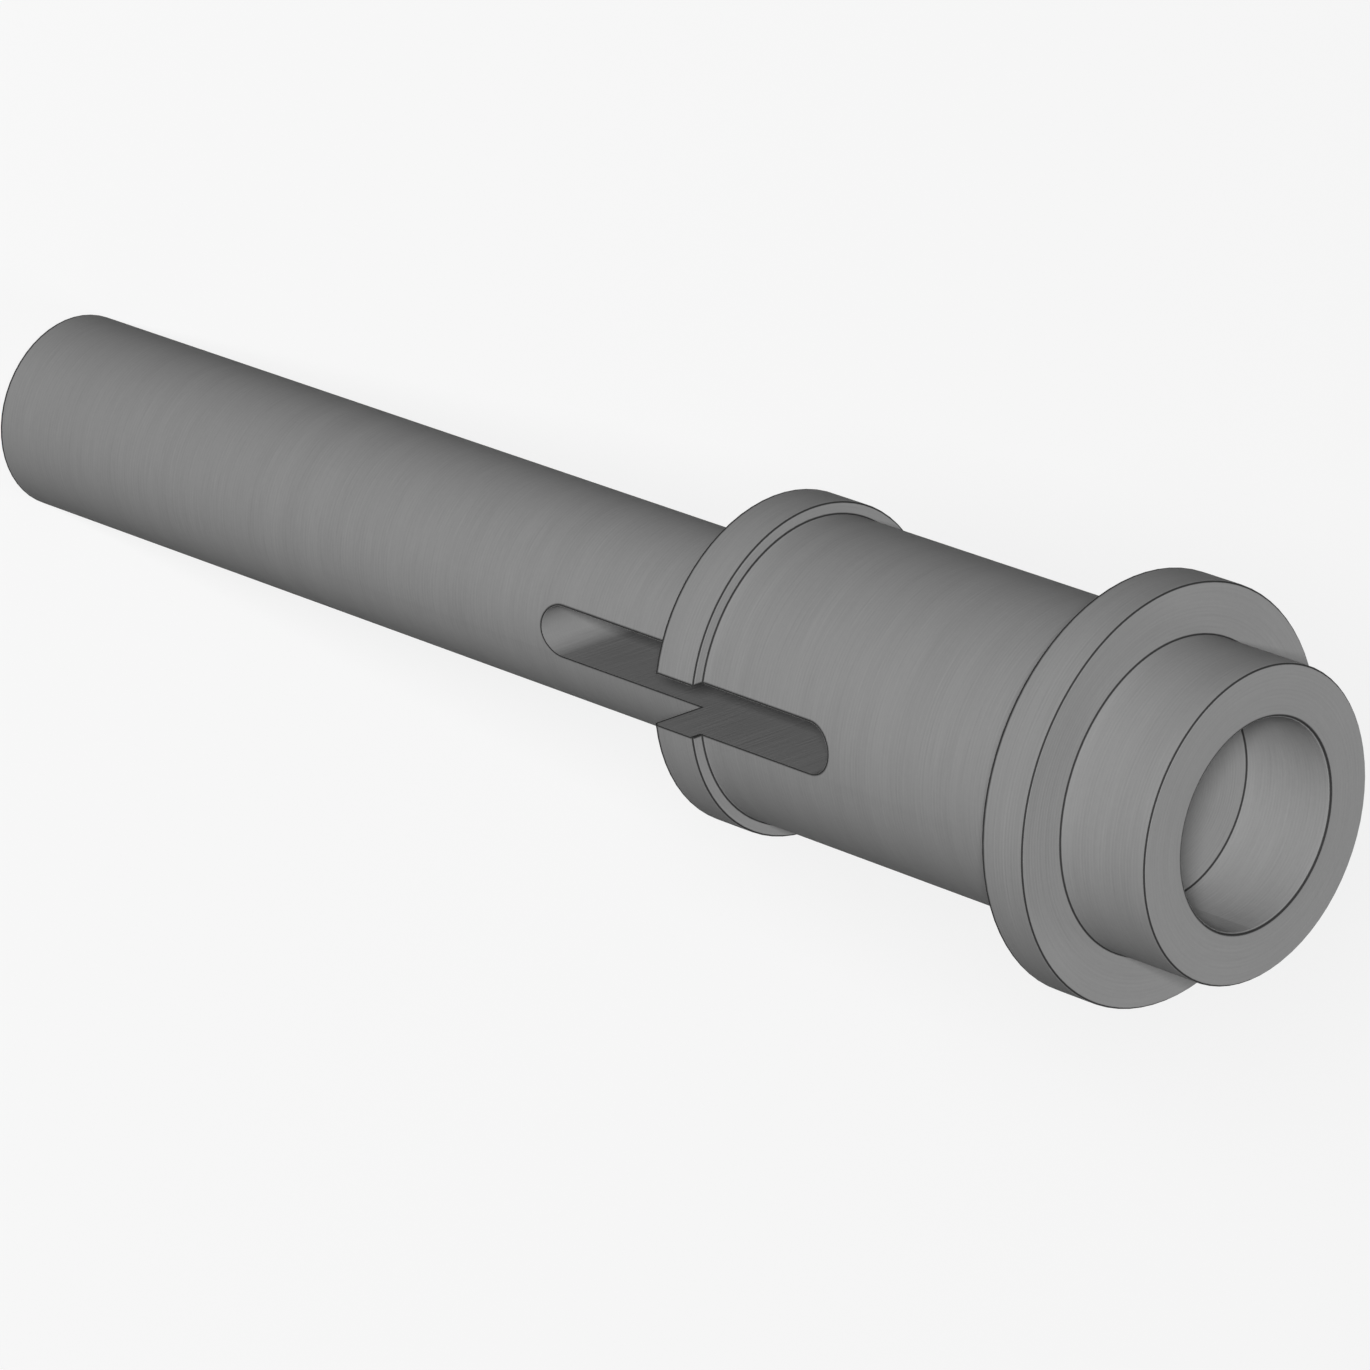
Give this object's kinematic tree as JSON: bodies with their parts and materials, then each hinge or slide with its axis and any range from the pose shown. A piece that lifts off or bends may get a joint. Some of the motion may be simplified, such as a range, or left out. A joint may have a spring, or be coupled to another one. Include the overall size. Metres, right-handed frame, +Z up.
{
  "type": "stepped shaft",
  "caption": "Stepped steel shaft that carries a hub on its long journal and another on its flanged, bored nose, with a round-ended cross slot milled right through for a key.",
  "frame": {"origin": "centre of the flat face at the free end of the long journal, which the shaft stands on", "axes": "+Z up along the shaft's axis, towards the bored nose; the cross slot runs right through along Y and is 5 mm wide along X"},
  "size_m": [0.04, 0.04, 0.16],
  "materials": {
    "steel": "turned and milled, matt mid grey"
  },
  "bodies": {
    "root": {"shaft": "steel"}
  },
  "joints": []
}
